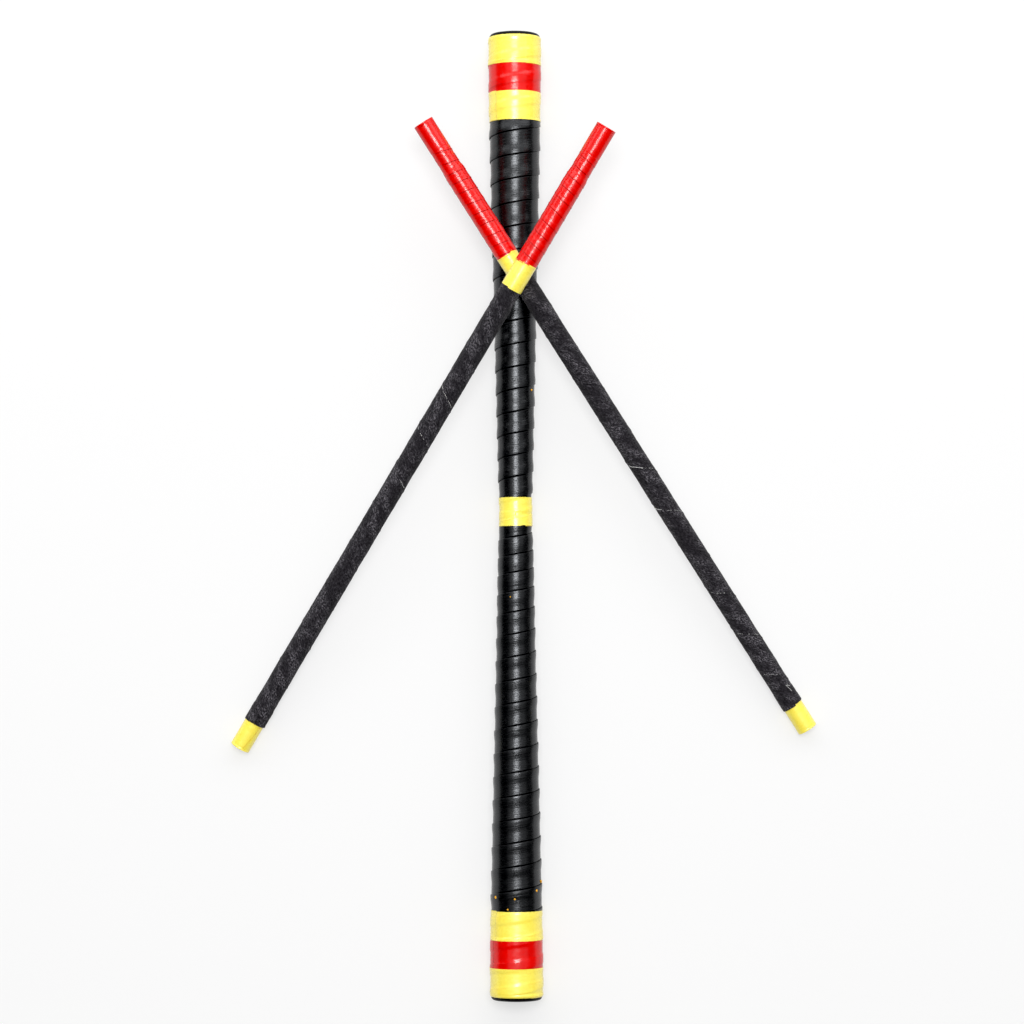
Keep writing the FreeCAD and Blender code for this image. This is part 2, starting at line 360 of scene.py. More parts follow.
def turned_piece(name, stick, profile, relief, material, replaces=(), segments=128):
    """A solid of revolution from an outline of (station, radius) points that starts and ends on the
    axis. relief(station, angle, radius) says how far a point moves along the axis and outwards."""
    angle = np.linspace(0, TURN, segments, endpoint=False)[:, None]
    station = np.array([p[0] for p in profile[1:-1]])[None, :]
    radius = np.array([p[1] for p in profile[1:-1]])[None, :]
    moved_station, moved_radius = relief(station, angle, radius)
    body = stick.points(station + moved_station, angle, radius + moved_radius)
    columns = body.shape[1]
    verts = body.reshape(-1, 3)
    poles = stick.points(np.array([profile[0][0], profile[-1][0]]), np.zeros(2), np.zeros(2))
    verts = np.concatenate([verts, poles])
    row = np.arange(segments)[:, None]
    column = np.arange(columns - 1)[None, :]
    following = (row + 1) % segments
    quads = np.stack([row * columns + column, following * columns + column,
                      following * columns + column + 1, row * columns + column + 1], axis=-1)
    faces = quads.reshape(-1, 4).tolist()
    start_pole, end_pole = segments * columns, segments * columns + 1
    for k in range(segments):
        after = (k + 1) % segments
        faces.append([start_pole, after * columns, k * columns])
        faces.append([end_pole, k * columns + columns - 1, after * columns + columns - 1])
    length = np.concatenate([[0], np.cumsum(np.hypot(np.diff(station[0]), np.diff(radius[0])))])
    uv = np.stack(np.broadcast_arrays(angle * 7.0, length[None, :]), axis=-1).reshape(-1, 2)
    uv = np.concatenate([uv, [[0, 0], [0, length[-1]]]])
    add_piece(name, stick, verts, faces, uv, material, replaces)


# ---- materials --------------------------------------------------------------------------------

class Paint:
    """A material under construction: a Principled shader and short calls that add nodes to it."""

    def __init__(self, name, colour, roughness, **settings):
        self.material = bpy.data.materials.new(name)
        self.material.use_nodes = True
        self.tree = self.material.node_tree
        self.shader = self.tree.nodes["Principled BSDF"]
        self.shader.inputs["Base Color"].default_value = (*colour, 1)
        self.shader.inputs["Roughness"].default_value = roughness
        for key, value in settings.items():
            self.shader.inputs[key.replace("_", " ")].default_value = value

    def node(self, kind, settings=None, **inputs):
        made = self.tree.nodes.new("ShaderNode" + kind)
        for key, value in (settings or {}).items():
            setattr(made, key, value)
        for key, value in inputs.items():
            socket = made.inputs[key.replace("_", " ")]
            if isinstance(value, bpy.types.NodeSocket):
                self.tree.links.new(value, socket)
            else:
                socket.default_value = value
        return made

    def surface(self, along=1.0, across=1.0):
        """The strip's own coordinates in millimetres, stretched."""
        uv = self.node("UVMap", {"uv_map": "Surface"}).outputs[0]
        return self._scaled(uv, (along, across, 1.0))

    def crevice(self):
        return self.node("Attribute", {"attribute_name": "crevice"}).outputs["Fac"]

    def place(self, scale=1.0):
        """Coordinates in the object's own frame, in millimetres."""
        where = self.node("TexCoord").outputs["Object"]
        return self._scaled(where, (1000 * scale,) * 3)

    def _scaled(self, vector, factors):
        made = self.node("VectorMath", {"operation": "MULTIPLY"})
        self.tree.links.new(vector, made.inputs[0])
        made.inputs[1].default_value = factors
        return made.outputs[0]

    def noise(self, vector, scale, detail=2.0, roughness=0.5):
        made = self.node("TexNoise", Vector=vector, Scale=scale, Detail=detail, Roughness=roughness)
        return made.outputs["Fac"]

    def band(self, value, low, high, out_low=0.0, out_high=1.0):
        """Maps low..high to out_low..out_high, clamped."""
        made = self.node("MapRange", {"clamp": True})
        self.tree.links.new(value, made.inputs["Value"])
        made.inputs["From Min"].default_value = low
        made.inputs["From Max"].default_value = high
        made.inputs["To Min"].default_value = out_low
        made.inputs["To Max"].default_value = out_high
        return made.outputs[0]

    def mix(self, share, first, second):
        made = self.node("Mix", {"data_type": "RGBA"})
        self.tree.links.new(share, made.inputs["Factor"])
        for socket, value in ((made.inputs[6], first), (made.inputs[7], second)):
            if isinstance(value, bpy.types.NodeSocket):
                self.tree.links.new(value, socket)
            else:
                socket.default_value = (*value, 1)
        return made.outputs[2]

    def sum(self, *values):
        total = values[0]
        for value in values[1:]:
            made = self.node("Math", {"operation": "ADD"})
            self.tree.links.new(total, made.inputs[0])
            self.tree.links.new(value, made.inputs[1])
            total = made.outputs[0]
        return total

    def product(self, first, second):
        made = self.node("Math", {"operation": "MULTIPLY"})
        self.tree.links.new(first, made.inputs[0])
        self.tree.links.new(second, made.inputs[1])
        return made.outputs[0]

    def colour(self, socket):
        self.tree.links.new(socket, self.shader.inputs["Base Color"])

    def gloss(self, socket):
        self.tree.links.new(socket, self.shader.inputs["Specular IOR Level"])

    def roughness(self, socket):
        self.tree.links.new(socket, self.shader.inputs["Roughness"])

    def bump(self, height, depth_mm, normal=None):
        made = self.node("Bump", Height=height, Distance=depth_mm * MM, Strength=1.0)
        if normal is not None:
            self.tree.links.new(normal, made.inputs["Normal"])
        self.tree.links.new(made.outputs[0], self.shader.inputs["Normal"])
        return made.outputs[0]


def rubber_tape_material():
    """Stretched black rubber tape: a soft gloss, fine lines along the strip, a little dust,
    and painted shade in the seams.
    """
    paint = Paint("rubber_tape", (0.002, 0.002, 0.0022), 0.26, Specular_Tint=(0.92, 0.95, 1.0, 1.0))
    fine = paint.noise(paint.surface(0.02, 2.2), 1.0, 2.0, 0.6)
    coarse = paint.noise(paint.surface(0.04, 0.8), 1.0, 3.0, 0.6)
    mottle = paint.noise(paint.surface(0.25, 0.6), 1.0, 3.0, 0.6)
    dust = paint.band(paint.noise(paint.surface(1.3, 1.3), 1.0, 2.0, 0.7), 0.73, 0.78)
    paint.colour(paint.mix(dust, (0.0016, 0.0016, 0.0018), (0.12, 0.12, 0.118)))
    # Painted shade in the seams: the crevice attribute makes them rougher and takes away their
    # gloss.
    deep = paint.band(paint.crevice(), 0.15, 0.6)
    wear_and_seam_shade = paint.band(mottle, 0.3, 0.7, 0.20, 0.32)
    paint.roughness(paint.sum(wear_and_seam_shade, paint.band(deep, 0, 1, 0, 0.4)))
    paint.gloss(paint.band(deep, 0, 1, 0.52, 0.01))
    first = paint.bump(fine, 0.07)
    second = paint.bump(coarse, 0.09, first)
    paint.bump(mottle, 0.02, second)
    return paint.material


def cap_rubber_material():
    """Matt moulded rubber with a fine grain and scuffs."""
    paint = Paint("moulded_rubber", (0.02, 0.02, 0.02), 0.5, Specular_IOR_Level=0.15)
    grain = paint.noise(paint.place(), 3.0, 3.0, 0.6)
    scuff = paint.band(paint.noise(paint.place(), 0.35, 3.0, 0.6), 0.52, 0.7)
    paint.colour(paint.mix(scuff, (0.003, 0.003, 0.003), (0.008, 0.008, 0.0075)))
    paint.roughness(paint.band(scuff, 0, 1, 0.45, 0.65))
    paint.bump(grain, 0.03)
    return paint.material


def vinyl_material(name, colour, deep, seam_shade_colour, roughness, specular=0.5, seam_shade_share=0.8,
                   haze=0.0):
    """Stretched vinyl tape: glossy, with faint lines along the strip, soft puckers and painted
    shade in the seams. haze is a soft second gloss."""
    paint = Paint(name, colour, roughness, Specular_IOR_Level=specular, Coat_Weight=haze,
                  Coat_Roughness=0.5)
    pucker = paint.noise(paint.surface(0.22, 0.35), 1.0, 2.0, 0.5)
    lines = paint.noise(paint.surface(0.05, 1.1), 1.0, 2.0, 0.5)
    wrinkle = paint.noise(paint.surface(0.9, 0.25), 1.0, 2.0, 0.6)
    tone = paint.band(paint.noise(paint.surface(0.07, 0.12), 1.0, 2.0, 0.5), 0.35, 0.7)
    # Painted shade in the seams: the crevice attribute mixes in the seam colour and takes away some
    # gloss.
    wear_and_seam_shade = paint.band(paint.crevice(), 0.2, 1.0, 0.0, seam_shade_share)
    paint.colour(paint.mix(wear_and_seam_shade, paint.mix(tone, colour, deep), seam_shade_colour))
    paint.roughness(paint.band(pucker, 0.3, 0.7, roughness * 0.8, roughness * 1.3))
    paint.gloss(paint.band(wear_and_seam_shade, 0.3, seam_shade_share, specular, 0.12))
    first = paint.bump(pucker, 0.05)
    second = paint.bump(wrinkle, 0.010, first)
    paint.bump(lines, 0.010, second)
    return paint.material


def cloth_material():
    """Napped near-black cloth: mottled, dull, with pale lint caught in it."""
    paint = Paint("grip_cloth", (0.03, 0.03, 0.032), 0.95, Specular_IOR_Level=0.05,
                  Sheen_Weight=0.10, Sheen_Roughness=0.4)
    mottle = paint.noise(paint.surface(0.65, 0.65), 1.0, 4.0, 0.8)
    patch = paint.band(paint.noise(paint.surface(0.10, 0.12), 1.0, 3.0, 0.6), 0.45, 0.60)
    nap = paint.noise(paint.surface(2.4, 2.4), 1.0, 3.0, 0.7)
    lint = paint.band(paint.noise(paint.surface(0.9, 0.9), 1.0, 3.0, 0.8), 0.48, 0.64)
    black, charcoal, fluff = (0.007, 0.0062, 0.0076), (0.038, 0.035, 0.041), (0.19, 0.18, 0.20)
    dark = paint.mix(paint.band(mottle, 0.42, 0.66), black, charcoal)
    fluffed = paint.product(lint, paint.band(patch, 0, 1, 0.08, 1.0))
    paint.colour(paint.mix(fluffed, dark, fluff))
    first = paint.bump(nap, 0.35)
    paint.bump(mottle, 0.5, first)
    return paint.material


def thread_material():
    """Frayed pale thread."""
    paint = Paint("frayed_thread", (0.75, 0.75, 0.73), 0.85, Sheen_Weight=0.3)
    wear_and_seam_shade = paint.noise(paint.place(), 1.2, 2.0, 0.5)
    paint.colour(paint.mix(paint.band(wear_and_seam_shade, 0.4, 0.6), (0.45, 0.45, 0.44), (0.85, 0.85, 0.83)))
    paint.bump(wear_and_seam_shade, 0.03)
    return paint.material


def wood_material():
    """The turned cores inside the wraps."""
    paint = Paint("turned_wood", (0.55, 0.38, 0.2), 0.5)
    grain = paint.noise(paint.place(0.4), 1.0, 4.0, 0.6)
    paint.colour(paint.mix(grain, (0.6, 0.42, 0.24), (0.42, 0.27, 0.13)))
    paint.bump(grain, 0.05)
    return paint.material


RUBBER_TAPE = rubber_tape_material()
CAP_RUBBER = cap_rubber_material()
# Each tape's seam colour is the painted shade in its seams.
YELLOW = vinyl_material("yellow_vinyl", colour=(0.98, 0.835, 0.105), deep=(0.98, 0.80, 0.075),
                        seam_shade_colour=(0.72, 0.42, 0.02), roughness=0.27, specular=0.72, haze=0.6)
RED = vinyl_material("red_vinyl", colour=(0.74, 0.0028, 0.0015), deep=(0.65, 0.002, 0.0015),
                     seam_shade_colour=(0.34, 0.001, 0.001), roughness=0.21, specular=0.45,
                     seam_shade_share=0.9)
SPECK = vinyl_material("yellow_specks", colour=(0.92, 0.46, 0.006), deep=(0.8, 0.33, 0.004),
                       seam_shade_colour=(0.8, 0.35, 0.01), roughness=0.5)
CLOTH = cloth_material()
THREAD = thread_material()
WOOD = wood_material()


# ---- centre stick -----------------------------------------------------------------------------

band_low, band_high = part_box("band_back_outer")
middle_x, middle_z = (band_low.x + band_high.x) / 2 / MM, (band_low.z + band_high.z) / 2 / MM
CENTRE = Stick("centre_stick", (middle_x, 0.0, middle_z), (0, 1, 0))
CORE_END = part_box("centre_core")[1].y / MM
CAP_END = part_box("end_cap_back")[1].y / MM
WAIST_LOW, WAIST_HIGH = (corner.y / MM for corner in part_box("waist_band"))
WRAP_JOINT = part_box("centre_wrap_back")[0].y / MM
BANDS = {part: [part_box(f"band_back_{part}")[k].y / MM for k in (0, 1)]
         for part in ("inner", "red", "outer")}

# Outside of the rubber wrap: distance from the middle, radius.
WRAP_PROFILE = np.array([(0.0, 10.7), (12.0, 10.9), (30.0, 11.35), (60.0, 12.1), (252.0, 16.65),
                         (271.0, 17.0), (289.0, 17.15), (CORE_END, 17.15), (CAP_END, 17.15)])

RUBBER_WIDTH = 19.8
RUBBER_THICKNESS = 0.56
RUBBER_RAMP = 7.0
RUBBER_LAP = 1.05
VINYL = 0.08                    # thickness of one layer of tape
EDGE_LAP = 0.85                 # each yellow end band covers this much of the red one
RIM_SHOWING = 0.3               # the outer bands stop this much short of their CAD sleeves
RED_STEP = 0.16                 # how far a yellow band rises where it laps over the red one


def wrap_profile(station):
    return np.interp(np.abs(station), WRAP_PROFILE[:, 0], WRAP_PROFILE[:, 1])


def rubber_floor(station, angle):
    """Radius the rubber is wound on. It is pulled tighter where the bands will go."""
    sink = np.interp(np.abs(station), (0, 12.5, 16, 246, 254), (1.32, 1.32, 0.9, 0.9, 1.32))
    return wrap_profile(station) - sink + 0 * angle


def back_pitch(travel):
    return np.interp(travel, (0, 60, 110, 300), (14.1, 13.8, 14.9, 15.6))


def front_pitch(travel):
    return np.interp(travel, (0, 35, 60, 85, 300), (11.2, 11.4, 13.6, 14.6, 15.2))


def rubber_winding(side, pitch, start, seed):
    return Winding(0.0, side, side, RUBBER_WIDTH, RUBBER_THICKNESS, pitch, start, CORE_END,
                   wander=0.35, ramp=RUBBER_RAMP, seed=seed, near_limit=side * WRAP_JOINT,
                   far_limit=CORE_END, lap=lambda station: RUBBER_LAP)


WRAPS = {"back": rubber_winding(1, back_pitch, -18.0, 3),
         "front": rubber_winding(-1, front_pitch, -19.5, 8)}


def rubber_relief(station, angle, across, turn_angle):
    """Stretch marks and soft dents in the tape."""
    dents = noise(station / 5.0, angle / TURN * 9, 11, 9)
    fine = noise(across / 1.1, turn_angle * 1.7, 12)
    return -0.05 + 0.04 * dents + 0.02 * fine


def over_wrap(station, angle):
    """What a band rests on: the wrap with its steps bridged, then the rim of the end cap."""
    sink, step_height, cap_level, lean_depth, lean_run = 0.08, 0.34, 0.6, 0.55, 1.6
    layers = np.where(station >= WRAP_JOINT,
                      WRAPS["back"].surface_layers(station, angle, 1.5),
                      WRAPS["front"].surface_layers(station, angle, 1.5))
    on_cap = ease((np.abs(station) - CORE_END) / 1.2 + 0.5)
    ridge = (np.clip(layers, 1.0, 2.0) - 1) * (1 - on_cap) + cap_level * on_cap
    lean = lean_depth * ease((np.abs(station) - BANDS["outer"][1] + lean_run) / lean_run)
    return wrap_profile(station) - sink - step_height * (1 - ridge) - lean


def wrap_marks(station, angle):
    """The seams of the wrap as they show through a band, painted into it as darker lines of shade.
    """
    near = np.where(station >= WRAP_JOINT, WRAPS["back"].seam_nearness(station, angle, 0.6),
                    WRAPS["front"].seam_nearness(station, angle, 0.6))
    broken = 0.45 + 0.25 * noise(angle * 1.9, station / 9, 62)
    return near * broken * (np.abs(station) < CORE_END)


def over_red(station, angle):
    """The same, raised where it laps over the edges of the red end band."""
    low, high = BANDS["red"]
    distance = np.abs(station)
    inner_side = distance < (low + high) / 2
    depth = EDGE_LAP + np.where(inner_side, distance - low, high - distance)
    near_red = (distance > low - 4) & (distance < high + 4)
    return over_wrap(station, angle) + RED_STEP * ease((depth + 0.8) / 1.2 + 1) * near_red


def rubber_wraps():
    for end, winding in WRAPS.items():
        bead = 0.04 if end == "back" else 0.08
        wound_strip(f"centre_wrap_{end}", CENTRE, winding, rubber_floor, RUBBER_TAPE,
                    rubber_relief, rows_per_turn=96, across=(13, 12, 3), rounding=0.5,
                    seam_width=0.75, groove=0.16, bead=bead, flank_shade=0.22)


def vinyl_relief(seed, depth):
    """Puckers and air pockets under a band of vinyl, never above its nominal surface."""
    def relief(station, angle, across, turn_angle):
        turn = angle / TURN
        soft = noise(station / 4.0, turn * 14, seed, 14)
        sharp = noise(station / 1.6 + angle * 1.1, turn * 40, seed + 1, 40)
        fold = noise(station / 2.4 + angle * 2.6, turn * 5, seed + 2, 5)
        fold = np.clip(fold - 0.35, 0, 1)
        return depth * (-1.0 + 0.7 * soft + 0.3 * sharp) - 1.6 * depth * fold
    return relief


def step(at, size, rise=0.06):
    """A torn step in the edge of a tape: the edge moves by size beyond the angle at, in degrees."""
    return lambda angle: size * ease((angle - math.radians(at)) / rise + 0.5)


def straight_band(name, stick, low, high, floor, thickness, turns, end_angle, drift, material,
                  relief, spin=1, near_shape=None, marks=None):
    """Tape wound straight round a stick, drifting along it by so much a turn, with its cut end at
    end_angle degrees."""
    phase = spin * math.radians(end_angle) - turns * TURN
    width = high - low - abs(drift) * turns
    winding = Winding(low, 1, spin, width, thickness, lambda travel: abs(drift), 0.0, 0.0,
                      phase=phase, wander=0.07, ramp=0.5, turns=turns, seed=len(name) + low,
                      near_limit=0.0, far_limit=high - low)
    wound_strip(name, stick, winding, floor, material, relief, rows_per_turn=160,
                across=(20, 8, 16), rounding=0.08, seam_width=0.3, near_shape=near_shape,
                marks=marks, edge_shade=0.25, under_step=1)


# Per end band: turns of tape, angle of the cut end from the top, drift along the stick per turn.
BAND_LAY = {
    ("back", "inner"): (1.30, -50, 0.35), ("back", "red"): (1.25, 128, 0.3),
    ("back", "outer"): (1.35, 150, 0.25), ("front", "inner"): (1.30, -56, 0.4),
    ("front", "red"): (1.25, -68, 0.4), ("front", "outer"): (1.30, 140, 0.3),
}


def end_bands():
    for (end, part), (turns, end_angle, drift) in BAND_LAY.items():
        low, high = BANDS[part]
        red = part == "red"
        if red:
            low, high = low - EDGE_LAP - drift * turns, high + EDGE_LAP + drift * turns
        elif part == "outer":
            high -= RIM_SHOWING
        if end == "front":
            low, high = -high, -low
        material, slot = (RED, "red_tape") if red else (YELLOW, "yellow_tape")
        floor = over_wrap if red else over_red
        relief = vinyl_relief(20 + len(part), 0.03)
        straight_band(f"band_{end}_{part}", CENTRE, low, high, floor, VINYL, turns, end_angle,
                      drift, material, relief, marks=wrap_marks)


def waist():
    straight_band("waist_band", CENTRE, WAIST_LOW, WAIST_HIGH, over_wrap, VINYL, turns=1.35,
                  end_angle=160, drift=0.5, material=YELLOW,
                  relief=vinyl_relief(31, 0.03), near_shape=step(20, 0.35), marks=wrap_marks)


def end_caps():
    """Moulded rubber discs: a wide bevel between the taped rim and a slightly dished face."""
    showing = BANDS["outer"][1] - RIM_SHOWING
    bevel, clearance, dish, roughness = 2.4, 0.1, 0.25, 0.03
    quarter = np.linspace(0, math.pi / 2, 8)
    for end, side in (("back", 1), ("front", -1)):

        def under_tape(distance, angles):
            return float(np.min(over_wrap(side * distance, angles))) - clearance

        taped = np.linspace(CORE_END, showing + 0.1, 9)
        rim = under_tape(taped[-1], quarter)
        face = rim - bevel - 0.4
        outline = [(CORE_END, 0.0)]
        outline += [(distance, under_tape(distance, np.linspace(0, TURN, 32)))
                    for distance in taped]
        outline += [(CAP_END - bevel * (1 - math.sin(a)), rim - bevel * (1 - math.cos(a)))
                    for a in quarter]
        outline += [(CAP_END, face), (CAP_END - dish, face - 0.5)]
        outline += [(CAP_END - dish, r) for r in (10.0, 5.0, 1.0, 0.0)]

        def moulding(station, angle, radius):
            on_face = roughness * (1 + noise(angle / TURN * 12, radius / 4, 81)) * (radius > 2)
            on_rim = roughness * (1 + noise(angle * 3, station, 82))
            return -side * on_face, -on_rim

        turned_piece(f"end_cap_{end}", CENTRE, [(side * s, r) for s, r in outline], moulding,
                     CAP_RUBBER, [f"end_cap_{end}"], segments=160)


# Flecks of yellow that have stuck to the rubber: station, angle in degrees, size.
FLECKS = ((-243.6, -54, 2.2), (-244.4, -4, 1.3), (-239.3, 51, 2.1), (-233.8, 76, 2.2),
          (-251.0, -20, 1.2), (79.4, 56, 1.4), (-52.9, -17, 1.0))


def flecks():
    verts, faces, rings, sides = [], [], 4, 10
    sunk, dome = 0.25, 0.75
    for number, (station, angle, size) in enumerate(FLECKS):
        base = wrap_profile(station) - sunk
        turn = np.linspace(0, TURN, sides, endpoint=False)
        outline = 1 + 0.35 * noise(turn * 1.3, 0.5, number + 90)
        first = len(verts)
        for ring in range(rings):
            share = 1 - ring / rings
            reach = size / 2 * share * outline
            height = base + dome * math.sqrt(1 - share ** 2)
            verts += list(CENTRE.points(station + reach * np.cos(turn),
                                        math.radians(angle) + reach * np.sin(turn) / base,
                                        np.full(sides, height)))
        verts.append(CENTRE.points(np.array(station), np.array(math.radians(angle)),
                                   np.array(base + dome + 0.01)))
        peak = len(verts) - 1
        faces += loop_faces(rings, sides, first)
        inner = first + (rings - 1) * sides
        for k in range(sides):
            faces.append([inner + k, inner + (k + 1) % sides, peak])
        faces.append([first + k for k in range(sides)][::-1])
    uv = np.zeros((len(verts), 2))
    add_piece("wrap_flecks", CENTRE, np.array(verts), faces, uv, SPECK)


# ---- hand sticks ------------------------------------------------------------------------------

STICK_LENGTH = 457.94
END_TAPE_RADIUS = 6.8
TIP_RADIUS = 6.64
TIP_TAPE_LENGTH = 30.0
GRIP_RADIUS = 6.9


def hand_stick_frame(which):
    mount = next(m for m in record["mounts"] if m["name"] == f"{which}_handle_end")
    along = -np.array(mount["axis"])
    start = np.array(mount["pos_m"]) / MM - along * TAPE_WIDTH / 2
    return Stick(f"hand_stick_{which}", start, along)


STICKS = {which: hand_stick_frame(which) for which in ("lower", "upper")}


def constant_floor(radius):
    return lambda station, angle: radius + 0 * station + 0 * angle


GRIP_LAYER = 0.5
GRIP_END = STICK_LENGTH - GRIP_END_FROM_TIP
TAPE_OVER_GRIP = 0.03
GRIP_LAY = {"lower": (31.5, 114, 5), "upper": (29.4, 260, 6)}     # pitch, phase in degrees, seed

# Distances between the turns of the red spiral, from the yellow band to the handle end.
SPIRAL_LAY = {
    "lower": (7.3, 7.3, 8.3, 7.8, 7.5, 9.0, 6.7, 6.6, 7.6, 8.8),
    "upper": (7.6, 7.6, 7.7, 8.8, 10.2, 7.3, 7.3, 7.7, 7.0, 7.6),
}
SPIRAL_PHASE = {"lower": 112, "upper": 329}
SPIRAL_THICKNESS = 0.12


def grip_lap(station):
    """A lap in the cloth hardly shows, and less still where tape presses it flat."""
    return 0.08 + 0.36 * ease((station - TRANSITION_END + 1) / 4)


def grip_winding(which):
    pitch, phase, seed = GRIP_LAY[which]
    length = GRIP_END - GRIP_START
    return Winding(GRIP_END, -1, 1, pitch + 1.0, GRIP_LAYER, lambda travel: pitch, -30.0, length,
                   phase=math.radians(phase), wander=0.5, ramp=1.2, seed=seed, near_limit=0.0,
                   far_limit=length, lap=grip_lap)


GRIPS = {which: grip_winding(which) for which in GRIP_LAY}


def over_grip(which):
    """What the handle tape and the yellow band lie on: the dowel, then the start of the grip."""
    def floor(station, angle):
        second = np.clip(GRIPS[which].surface_layers(station, angle, 1.8) - 1, 0.0, 1.0)
        laps = second * grip_lap(station)
        covered = ease((station - GRIP_START + 4.0) / 5.0)
        return DOWEL_RADIUS + covered * (GRIP_LAYER * (1 + laps) + TAPE_OVER_GRIP)
    return floor


def over_spiral(which):
    """The yellow band also covers the first of the red tape."""
    beneath = over_grip(which)

    def floor(station, angle):
        return beneath(station, angle) + 0.2 * ease((HANDLE_TAPE_END + 1.3 - station) / 0.7)
    return floor


def handle_spiral(which, seed):
    lay = SPIRAL_LAY[which]
    middles = 5.0 + 7.8 * np.arange(len(lay))
    length = HANDLE_TAPE_END - TAPE_WIDTH + 0.5

    def pitch(travel):
        return np.interp(travel, middles, lay)

    winding = Winding(HANDLE_TAPE_END, -1, 1, TAPE_WIDTH, SPIRAL_THICKNESS, pitch, -TAPE_WIDTH,
                      length, phase=math.radians(SPIRAL_PHASE[which]), wander=0.25, ramp=0.4,
                      seed=seed, near_limit=-1.0, far_limit=length)
    wound_strip(f"{which}_handle_tape", STICKS[which], winding, over_grip(which), RED,
                vinyl_relief(40 + seed, 0.06), rows_per_turn=110, across=(16, 10, 8),
                rounding=0.22, groove=0.15, seam_width=0.5, bead=0.09, flank_shade=0.4,
                under_step=2)


def grip(which, torn):
    seed = GRIP_LAY[which][2]

    def fuzz(station, angle, across, turn_angle):
        slow = noise(station / 11.0, angle / TURN * 3, seed + 7, 3)
        coarse = noise(station / 2.2, angle / TURN * 20, seed, 20)
        fine = noise(station / 0.8, angle / TURN * 56, seed + 1, 56)
        rough = -0.06 + 0.13 * slow + 0.07 * coarse + 0.05 * fine
        return rough * ease((station - TRANSITION_END + 1) / 1.5)

    def frayed(angle):
        return torn(angle) + 0.22 * noise(angle / 0.13, 0.5, seed + 2)

    wound_strip(f"{which}_grip_wrap", STICKS[which], GRIPS[which], grip_floor, CLOTH,
                fuzz, rows_per_turn=110, across=(34, 8, 3), rounding=0.3, groove=0.06,
                seam_width=0.3, near_shape=frayed)


def grip_floor(station, angle):
    """The dowel, then the tip tape that the end of the grip covers."""
    on_tape = ease((station - (STICK_LENGTH - TIP_TAPE_LENGTH) + 1) / 2)
    return DOWEL_RADIUS + (TIP_RADIUS - DOWEL_RADIUS) * on_tape + 0 * angle


# Loose thread at the laps of the cloth: (station, angle) of both ends in degrees, then the share of
# the run that shows as thread.
THREADS = {
    "lower": (((253.4, 66), (258.7, 2), 1.0), ((258.7, 2), (264.8, -76), 0.45),
              ((284.6, 87), (288.0, 35), 1.0), ((288.0, 35), (296.3, -67), 0.4),
              ((348.5, 73), (357.7, -54), 0.5), ((379.9, 63), (389.1, -51), 0.55),
              ((412.6, 46), (421.4, -86), 0.65),
              ((425.5, -24), (431.0, -36), 1.0), ((427.5, -42), (426.0, -30), 1.0)),
    "upper": (((191.7, 60), (201.5, -66), 0.85), ((220.5, 74), (230.6, -67), 0.35),
              ((256.8, -15), (260.4, -63), 0.8)),
}


def loose_threads():
    pieces, points = 16, 5
    for which, runs in THREADS.items():
        verts, faces = np.zeros((0, 3)), []
        for number, ((low, low_angle), (high, high_angle), shown) in enumerate(runs):
            for k in range(pieces):
                wild = hashed(number, k, len(which) + 3.0)
                if wild > shown:
                    continue
                reach = 1.0 if shown == 1.0 else 0.35 + 0.4 * wild / shown
                share = (k + reach * np.linspace(0, 1, points)) / pieces
                stray = 0.2 * noise(share * 7, number, 95)
                rings, skin = thread_rings(
                    STICKS[which], low + (high - low) * share + stray,
                    np.radians(low_angle + (high_angle - low_angle) * share),
                    GRIP_RADIUS + 0.22 + 0.05 * noise(share * 9, number, 96), 0.24 + 0.1 * wild)
                faces += [[index + len(verts) for index in face] for face in skin]
                verts = np.concatenate([verts, rings])
        add_piece(f"{which}_grip_threads", STICKS[which], verts, faces, np.zeros((len(verts), 2)),
                  THREAD)


# How far the folded tape stands off each end of the dowel's own tape.
FOLD_STANDS_OFF = {"lower": {-1: 0.8, 1: 0.3}, "upper": {-1: 1.2, 1: 0.5}}


def fold_cap(which, end, radius, material, slot, folds, seed):
    """Tape folded over the end of the dowel: a rounded rim and wedge-shaped pleats."""
    stick = STICKS[which]
    outward = -1 if end == 0 else 1
    rim, outside, inside = 0.25, radius - 0.1, DOWEL_RADIUS - 0.05
    sunk = end - outward * 0.35
    end = end + outward * FOLD_STANDS_OFF[which][outward]
    skirt = end - outward * 2.5
    profile = [(sunk, 0.0), (sunk, inside), (skirt, inside), (skirt, radius - 0.12)]
    profile += [(end - outward * rim * (1 - math.sin(a)), outside - rim * (1 - math.cos(a)))
                for a in np.linspace(0, math.pi / 2, 6)]
    profile += [(end, r) for r in np.linspace(outside - rim, 0.35, 9)[1:]] + [(end, 0.0)]

    def pleats(station, angle, r):
        wedge = (np.abs(np.mod(angle / TURN * folds + seed * 0.3, 1) - 0.5) * 2) ** 3
        on_face = ease((np.abs(station - (end - outward * 3)) - 1.2) / 1.5)
        depth = 0.16 * wedge * ease((radius - 0.6 - r) / 1.5)
        depth = depth + 0.02 * (1 + noise(angle * 2, r / 2, seed))
        return -outward * depth * on_face * (r > 0.3), -0.05 * wedge * on_face

    turned_piece(f"{which}_{slot.split('_')[0]}_end_fold", stick, profile, pleats, material)


def tip_crease(station, angle):
    """A darker brownish line along a crease that runs slantwise along the tip tape of the upper
    stick.
    """
    share = (station - GRIP_END) / GRIP_END_FROM_TIP
    off = np.mod(angle - np.radians(-52 + 34 * share) + math.pi, TURN) - math.pi
    broken = 0.75 + 0.25 * noise(station / 1.5, 0.5, 99)
    return broken * np.exp(-(off / 0.09) ** 2)


